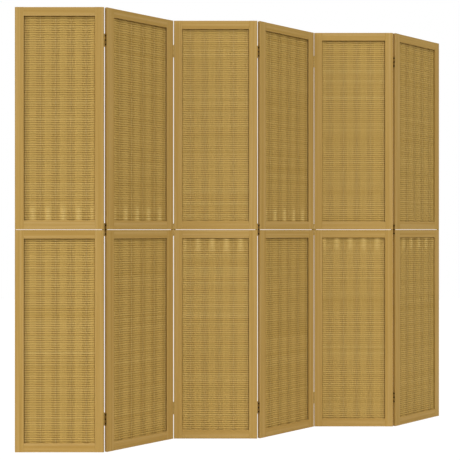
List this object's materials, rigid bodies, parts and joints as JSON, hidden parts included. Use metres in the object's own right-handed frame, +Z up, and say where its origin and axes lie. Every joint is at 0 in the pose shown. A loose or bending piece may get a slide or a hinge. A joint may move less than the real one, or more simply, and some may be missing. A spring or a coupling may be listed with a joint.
{
  "type": "folding screen",
  "caption": "Free-standing folding screen: hinged panels in a zigzag, each an upper and a lower wooden frame with a woven infill, opening flat or closing into a stack.",
  "frame": {"origin": "on the floor, under the middle of the screen's bounding box as it stands in its zigzag", "axes": "+Z up, +X along the width of the panels that stand square to the front, +Y to the back; the front faces -Y"},
  "size_m": [1.8286, 0.767, 1.75],
  "materials": {
    "wood_frame": "satin varnished, straight grained",
    "woven_infill": "woven flat strips, matt",
    "stakes": "split rods, matt",
    "dowels": "plain beech",
    "hinge_leaves": "dull, stamped",
    "hinge_pins": "dull, turned",
    "tie_plates": "dull, stamped",
    "screws": "blackened steel"
  },
  "bodies": {
    "panel_1": {"panel_1_stiles": "wood_frame", "panel_1_rails": "wood_frame", "panel_1_upper_weave": "woven_infill", "panel_1_lower_weave": "woven_infill", "panel_1_stakes": "stakes", "panel_1_dowels": "dowels", "panel_1_screws": "screws", "fold_1_left_leaves": "hinge_leaves", "fold_1_pins": "hinge_pins", "left_tie_plate": "tie_plates"},
    "panel_2": {"panel_2_stiles": "wood_frame", "panel_2_rails": "wood_frame", "panel_2_upper_weave": "woven_infill", "panel_2_lower_weave": "woven_infill", "panel_2_stakes": "stakes", "panel_2_dowels": "dowels", "panel_2_screws": "screws", "fold_1_right_leaves": "hinge_leaves", "fold_2_left_leaves": "hinge_leaves", "fold_2_pins": "hinge_pins"},
    "panel_3": {"panel_3_stiles": "wood_frame", "panel_3_rails": "wood_frame", "panel_3_upper_weave": "woven_infill", "panel_3_lower_weave": "woven_infill", "panel_3_stakes": "stakes", "panel_3_dowels": "dowels", "panel_3_screws": "screws", "fold_2_right_leaves": "hinge_leaves", "fold_3_left_leaves": "hinge_leaves", "fold_3_pins": "hinge_pins"},
    "panel_4": {"panel_4_stiles": "wood_frame", "panel_4_rails": "wood_frame", "panel_4_upper_weave": "woven_infill", "panel_4_lower_weave": "woven_infill", "panel_4_stakes": "stakes", "panel_4_dowels": "dowels", "panel_4_screws": "screws", "fold_3_right_leaves": "hinge_leaves", "fold_4_left_leaves": "hinge_leaves", "fold_4_pins": "hinge_pins"},
    "panel_5": {"panel_5_stiles": "wood_frame", "panel_5_rails": "wood_frame", "panel_5_upper_weave": "woven_infill", "panel_5_lower_weave": "woven_infill", "panel_5_stakes": "stakes", "panel_5_dowels": "dowels", "panel_5_screws": "screws", "fold_4_right_leaves": "hinge_leaves", "fold_5_left_leaves": "hinge_leaves", "fold_5_pins": "hinge_pins"},
    "panel_6": {"panel_6_stiles": "wood_frame", "panel_6_rails": "wood_frame", "panel_6_upper_weave": "woven_infill", "panel_6_lower_weave": "woven_infill", "panel_6_stakes": "stakes", "panel_6_dowels": "dowels", "panel_6_screws": "screws", "fold_5_right_leaves": "hinge_leaves", "right_tie_plate": "tie_plates"}
  },
  "joints": [
    {"name": "fold_1", "type": "hinge", "parent": "panel_1", "child": "panel_2", "pos_m": [-0.56415, -0.36855, 0.875], "axis": [0, 0, 1], "range_deg": [-45, 135]},
    {"name": "fold_2", "type": "hinge", "parent": "panel_2", "child": "panel_3", "pos_m": [-0.30472, -0.13174, 0.875], "axis": [0, 0, -1], "range_deg": [-45, 135]},
    {"name": "fold_3", "type": "hinge", "parent": "panel_3", "child": "panel_4", "pos_m": [0.04618, -0.11574, 0.875], "axis": [0, 0, 1], "range_deg": [-45, 135]},
    {"name": "fold_4", "type": "hinge", "parent": "panel_4", "child": "panel_5", "pos_m": [0.30562, 0.12107, 0.875], "axis": [0, 0, -1], "range_deg": [-45, 135]},
    {"name": "fold_5", "type": "hinge", "parent": "panel_5", "child": "panel_6", "pos_m": [0.65652, 0.13707, 0.875], "axis": [0, 0, 1], "range_deg": [-45, 135]}
  ]
}
